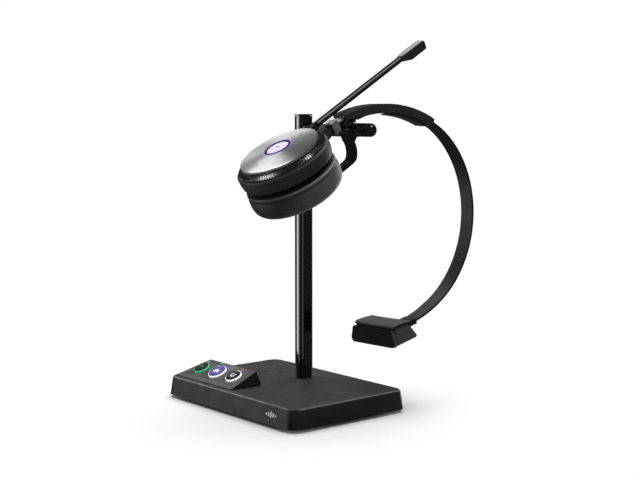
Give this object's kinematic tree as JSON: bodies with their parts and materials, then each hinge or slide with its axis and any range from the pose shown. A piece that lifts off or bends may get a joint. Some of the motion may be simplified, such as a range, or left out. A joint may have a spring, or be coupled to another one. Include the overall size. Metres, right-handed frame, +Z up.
{
  "type": "office headset on charging stand",
  "caption": "Single-ear wireless headset with swinging microphone boom and sprung headband, resting on a weighted charging stand with call buttons.",
  "frame": {"origin": "centre of the stand's underside, on the table", "axes": "+Z up, -Y towards the front edge of the base (the side the user faces), +X to the user's right, the way the hanger bar points"},
  "size_m": [0.1604, 0.2143, 0.2709],
  "materials": {
    "base_shell": "fine matte charcoal",
    "base_cover": "matte black",
    "foot_rubber": "matte",
    "plain_steel": "plain",
    "ballast": "plain stamped steel",
    "circuit_board": "solder mask",
    "inner_black": "matte",
    "socket_metal": "bright plated",
    "wedge_shell": "fine matte charcoal",
    "phone_key": "satin",
    "meeting_key": "satin",
    "desktop_key": "satin",
    "green_light": "lit, translucent",
    "white_light": "lit, translucent",
    "red_light": "lit, translucent",
    "gloss_post": "high gloss",
    "gloss_bar": "high gloss",
    "gold_contact": "plated",
    "cradle_black": "satin",
    "cradle_rubber": "matte",
    "sleeve_grey": "satin",
    "saddle_black": "satin",
    "liner_foam": "soft leatherette",
    "sleeve_trim": "satin",
    "band_grey": "satin, over spring steel",
    "fitting_black": "satin",
    "pad_carrier": "matte",
    "pad_cushion": "soft leatherette",
    "slider_silver": "bright satin",
    "neck_grey": "satin",
    "cup_grey": "soft matte",
    "disc_silver": "circular brushed",
    "purple_light": "lit, translucent",
    "button_silver": "bright satin",
    "switch_black": "ribbed",
    "battery_wrap": "foil",
    "baffle_black": "matte",
    "acoustic_cloth": "fine weave",
    "ear_leatherette": "soft leatherette",
    "boom_black": "knurled",
    "boom_grey": "satin",
    "mic_grey": "satin",
    "mic_mesh": "fine mesh"
  },
  "bodies": {
    "stand": {"base_top_shell": "base_shell", "base_bottom_cover": "base_cover", "anti_slip_mat": "foot_rubber", "base_screw_1": "plain_steel", "base_screw_2": "plain_steel", "base_screw_3": "plain_steel", "base_screw_4": "plain_steel", "ballast_plate": "ballast", "base_circuit_board": "circuit_board", "ringer_speaker": "inner_black", "pc_usb_socket": "socket_metal", "phone_usb_socket": "socket_metal", "button_wedge_housing": "wedge_shell", "button_board": "circuit_board", "phone_light_ring": "green_light", "meeting_light_ring": "white_light", "desktop_light_ring": "white_light", "phone_status_light": "green_light", "mute_status_light": "red_light", "post_tube": "gloss_post", "post_top_cap": "gloss_post", "post_foot": "inner_black", "hanger_bar": "gloss_bar", "bar_pin": "plain_steel", "bar_end_cap": "gloss_bar", "charging_pin_1": "gold_contact", "charging_pin_2": "gold_contact", "cradle_arm": "cradle_black", "cradle_pad": "cradle_rubber"},
    "phone_button": {"phone_call_button": "phone_key"},
    "meeting_button": {"meeting_call_button": "meeting_key"},
    "desktop_button": {"desktop_call_button": "desktop_key"},
    "headband": {"sleeve_shell": "sleeve_grey", "charging_saddle": "saddle_black", "head_liner": "liner_foam", "band_gland": "sleeve_trim", "spring_band": "band_grey", "band_end_fitting": "fitting_black"},
    "t_pad": {"t_pad_carrier": "pad_carrier", "t_pad_pin": "plain_steel", "t_pad_cushion": "pad_cushion"},
    "slider": {"slider_strip": "slider_silver", "neck": "neck_grey", "tilt_pin": "plain_steel"},
    "ear_cup": {"cup_housing": "cup_grey", "cup_disc": "disc_silver", "led_ring": "purple_light", "headset_board": "circuit_board", "battery": "battery_wrap", "speaker_driver": "inner_black", "speaker_baffle": "baffle_black", "ear_scrim": "acoustic_cloth", "ear_cushion": "ear_leatherette"},
    "power_slide": {"power_switch": "switch_black"},
    "centre_button": {"multifunction_button": "button_silver"},
    "boom": {"boom_ring": "boom_black", "boom_arm": "boom_grey", "mic_head": "mic_grey", "mic_grille": "mic_mesh", "mic_capsule": "inner_black"}
  },
  "joints": [
    {"name": "phone_press", "type": "slide", "parent": "stand", "child": "phone_button", "axis": [0, 0.4133, -0.9106], "range_m": [0, 0.0008], "stiffness_N_per_m": 500, "springref_m": -0.0004},
    {"name": "meeting_press", "type": "slide", "parent": "stand", "child": "meeting_button", "axis": [0, 0.4133, -0.9106], "range_m": [0, 0.0008], "stiffness_N_per_m": 500, "springref_m": -0.0004},
    {"name": "desktop_press", "type": "slide", "parent": "stand", "child": "desktop_button", "axis": [0, 0.4133, -0.9106], "range_m": [0, 0.0008], "stiffness_N_per_m": 500, "springref_m": -0.0004},
    {"name": "headset_lift", "type": "slide", "parent": "stand", "child": "headband", "axis": [0, 0, 1], "range_m": [0, 0.2]},
    {"name": "pad_tilt", "type": "hinge", "parent": "headband", "child": "t_pad", "pos_m": [0.048, 0.072, 0.0566], "axis": [0.9918, -0.1183, 0.0489], "range_deg": [-8, 8]},
    {"name": "band_extension", "type": "hinge", "parent": "headband", "child": "slider", "pos_m": [0.048, 0.054, 0.11465], "axis": [1, 0, 0], "range_deg": [-1.5, 13]},
    {"name": "cup_tilt", "type": "hinge", "parent": "slider", "child": "ear_cup", "pos_m": [0.048, -0.00326, 0.20241], "axis": [-1, 0, 0], "range_deg": [0, 6]},
    {"name": "boom_swing", "type": "hinge", "parent": "ear_cup", "child": "boom", "pos_m": [0.048, -0.0415, 0.1918], "axis": [0, -0.5105, 0.8599], "range_deg": [-160, 160]},
    {"name": "centre_press", "type": "slide", "parent": "ear_cup", "child": "centre_button", "axis": [0, 0.5105, -0.8599], "range_m": [0, 0.0006], "stiffness_N_per_m": 800, "springref_m": -0.0005},
    {"name": "power_travel", "type": "slide", "parent": "ear_cup", "child": "power_slide", "axis": [0, 0.8599, 0.5105], "range_m": [0, 0.0025]}
  ]
}
